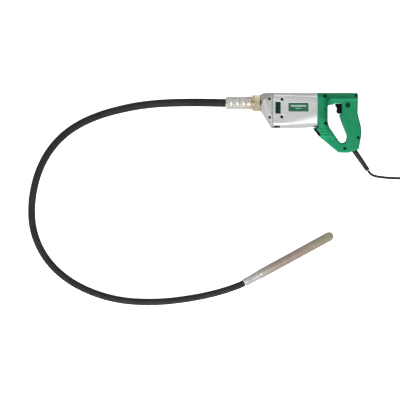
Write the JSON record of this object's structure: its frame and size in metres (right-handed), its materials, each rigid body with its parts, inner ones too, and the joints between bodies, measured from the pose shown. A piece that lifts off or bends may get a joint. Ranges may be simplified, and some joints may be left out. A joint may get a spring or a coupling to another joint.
{
  "type": "concrete vibrator",
  "caption": "Hand-held electric concrete vibrator: motor housing with gearbox nose, trigger D-handle, rubber hose with flexible drive shaft, and a long round vibrating head.",
  "frame": {"origin": "on the motor housing's right side face, directly under the motor's axis, on the surface that the tool lies on", "axes": "+X from the hose end to the handle along the motor's axis, +Y to the tool's top, +Z out of the tool's left side"},
  "size_m": [1.2151, 0.6179, 0.0883],
  "materials": {
    "aluminium": "polished casting",
    "casting": "satin grey casting",
    "green_plastic": "fine satin moulding",
    "dark_green_plastic": "satin",
    "badge": "satin enamel",
    "black_plastic": "semi gloss",
    "rubber": "matte",
    "zinc_gold": "yellow chromated zinc",
    "zinc": "bright zinc",
    "steel": "ground",
    "dark_steel": "black oxide",
    "lamination": "varnished laminations",
    "copper": "enamelled copper",
    "brass": "plain",
    "carbon": "pressed carbon"
  },
  "bodies": {
    "root": {"armature_bearing_front": "steel", "armature_bearing_rear": "steel", "badge_plate": "badge", "bearing_plate": "casting", "brush_carrier": "black_plastic", "brush_holder_lower": "brass", "brush_holder_upper": "brass", "carbon_brush_lower": "carbon", "carbon_brush_upper": "carbon", "cord_boot": "rubber", "cord_clamp": "black_plastic", "cord_coil": "rubber", "cord_tie": "black_plastic", "field_coil_lower": "copper", "field_coil_upper": "copper", "flex_shaft": "steel", "gearbox_nose": "casting", "handle_screw_1": "dark_steel", "handle_screw_2": "dark_steel", "handle_screw_3": "dark_steel", "handle_screw_4": "dark_steel", "handle_screw_5": "dark_steel", "handle_shell_left": "green_plastic", "handle_shell_right": "green_plastic", "head_bearing_front": "steel", "head_bearing_rear": "steel", "head_casing": "zinc_gold", "head_ferrule": "zinc", "head_neck": "zinc", "hose": "rubber", "hose_adapter": "zinc", "hose_ferrule": "zinc", "housing_screw_1": "dark_steel", "housing_screw_2": "dark_steel", "inner_cord": "rubber", "mains_cord": "rubber", "motor_housing": "aluminium", "nose_screw_1": "dark_steel", "nose_screw_2": "dark_steel", "plug_body": "black_plastic", "plug_pin_1": "brass", "plug_pin_2": "brass", "spindle_bearing_front": "steel", "spindle_bearing_rear": "steel", "stator_core": "lamination", "switch_body": "black_plastic", "vent_grille_left": "dark_green_plastic", "vent_grille_right": "dark_green_plastic"},
    "trigger": {"trigger": "black_plastic"},
    "lock_button": {"lock_button": "dark_green_plastic"},
    "armature": {"armature_shaft": "steel", "armature_core": "lamination", "armature_winding": "copper", "commutator": "copper", "fan": "black_plastic", "pinion": "steel"},
    "spindle": {"output_gear": "steel", "output_spindle": "steel"},
    "coupling_nut": {"coupling_nut": "zinc_gold"},
    "rotor": {"eccentric_rotor": "steel"}
  },
  "joints": [
    {"name": "trigger_pull", "type": "slide", "parent": "root", "child": "trigger", "axis": [1, 0, 0], "range_m": [0, 0.006], "stiffness_N_per_m": 800, "springref_m": -0.004},
    {"name": "lock_button_press", "type": "slide", "parent": "root", "child": "lock_button", "axis": [0, 0, -1], "range_m": [0, 0.003], "stiffness_N_per_m": 800, "springref_m": -0.002},
    {"name": "armature_spin", "type": "hinge", "parent": "root", "child": "armature", "pos_m": [0, 0, 0.044], "axis": [1, 0, 0], "continuous": true},
    {"name": "spindle_spin", "type": "hinge", "parent": "root", "child": "spindle", "pos_m": [-0.075, 0.022, 0.044], "axis": [1, 0, 0], "continuous": true},
    {"name": "rotor_spin", "type": "hinge", "parent": "root", "child": "rotor", "pos_m": [-0.1465, -0.4997, 0.0136], "axis": [0.878, 0.4787, 0], "continuous": true},
    {"name": "coupling_nut_turn", "type": "hinge", "parent": "root", "child": "coupling_nut", "pos_m": [-0.112, 0.022, 0.044], "axis": [1, 0, 0], "continuous": true}
  ],
  "couplings": [
    {"joint": "spindle_spin", "follows": "armature_spin", "ratio": -0.51724},
    {"joint": "rotor_spin", "follows": "armature_spin", "ratio": 0.51724}
  ]
}
